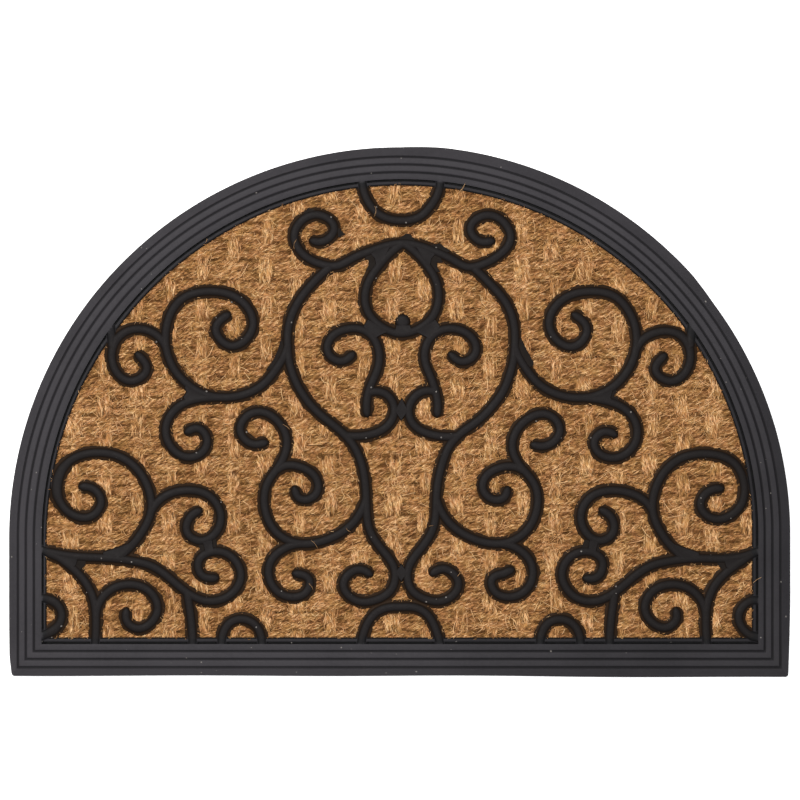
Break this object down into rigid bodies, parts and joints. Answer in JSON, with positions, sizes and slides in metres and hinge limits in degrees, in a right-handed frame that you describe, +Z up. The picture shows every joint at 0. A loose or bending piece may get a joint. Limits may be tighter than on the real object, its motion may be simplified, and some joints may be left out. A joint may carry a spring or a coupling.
{
  "type": "half-round coir doormat",
  "caption": "Half-round doormat: a ribbed rubber border and open scrollwork moulded over a panel of woven coir, lying flat on a rubber backing.",
  "frame": {"origin": "on the floor plane, under the middle of the mat's bounding box", "axes": "+X along the straight edge, +Y towards the round edge, +Z up from the floor through the mat's thickness"},
  "size_m": [0.6, 0.406, 0.01],
  "materials": {
    "rubber": "matt black moulded rubber",
    "coir": "coarse woven coconut fibre, golden brown"
  },
  "bodies": {
    "root": {"rubber_moulding": "rubber", "coir_field": "coir"}
  },
  "joints": []
}
